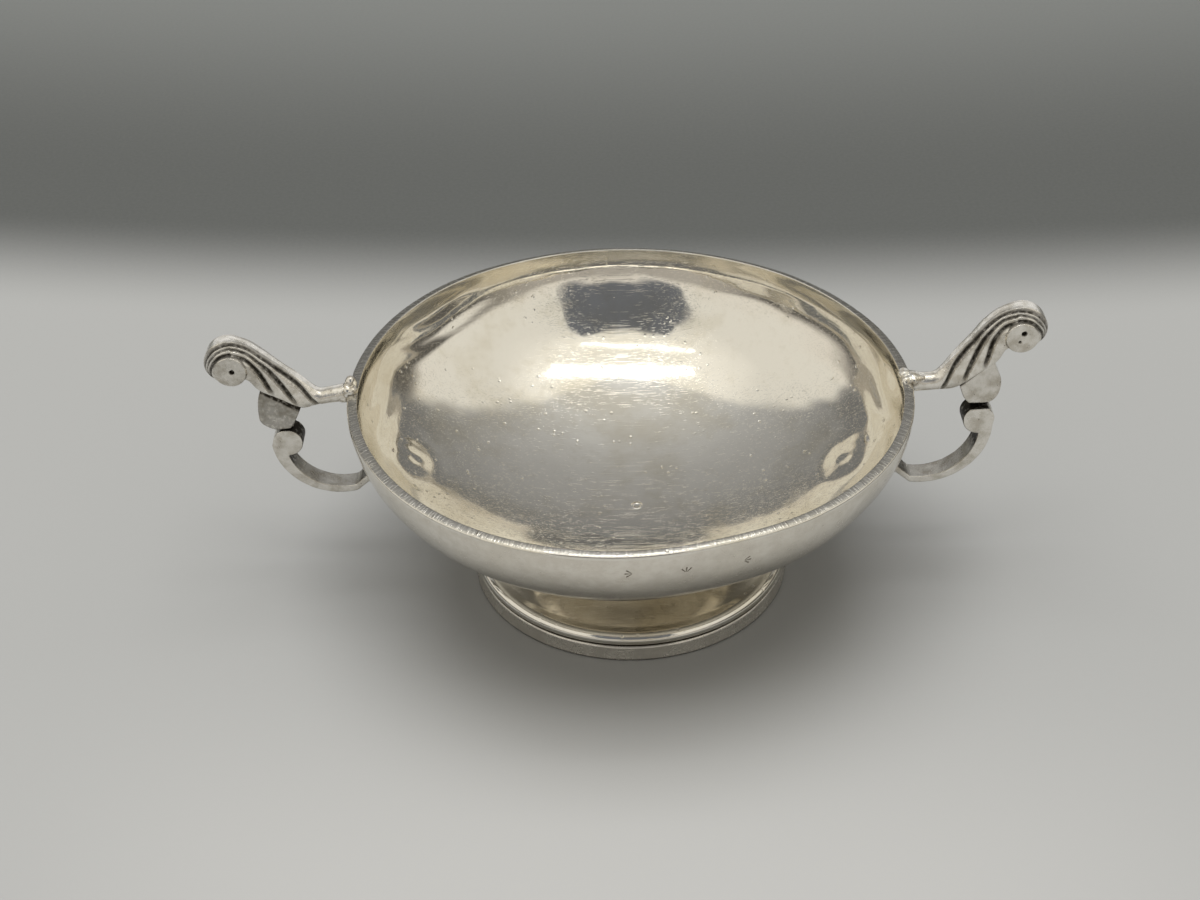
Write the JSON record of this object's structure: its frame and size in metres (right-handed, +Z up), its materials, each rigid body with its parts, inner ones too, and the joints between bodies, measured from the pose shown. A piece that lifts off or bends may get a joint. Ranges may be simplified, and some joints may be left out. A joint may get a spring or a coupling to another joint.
{
  "type": "wedding cup",
  "caption": "Low footed silver cup: a wide raised bowl on a moulded pedestal foot, with fluted scroll handles soldered to its rim and wall.",
  "frame": {"origin": "centre of the foot's underside, where the cup stands", "axes": "+Z up out of the bowl; +X along the line of the handles, towards the one on the right in the picture; +Y away from the picture's viewer"},
  "size_m": [0.1703, 0.116, 0.0626],
  "materials": {
    "silver": "old polished silver, planished by hand, with fine scratches, soft hammer waves and small pits",
    "cast_silver": "cast and filed silver with worn bright ridges and dark tarnish in the flutes and corners",
    "solder": "silver solder, lumpy and slightly bright, with dark edges"
  },
  "bodies": {
    "root": {"bowl": "silver", "foot": "silver", "foot_band": "silver", "neck_solder": "solder", "left_arm": "cast_silver", "left_lug": "cast_silver", "left_scroll": "cast_silver", "left_rim_solder": "solder", "left_wall_solder": "solder", "right_arm": "cast_silver", "right_lug": "cast_silver", "right_scroll": "cast_silver", "right_rim_solder": "solder", "right_wall_solder": "solder"}
  },
  "joints": []
}
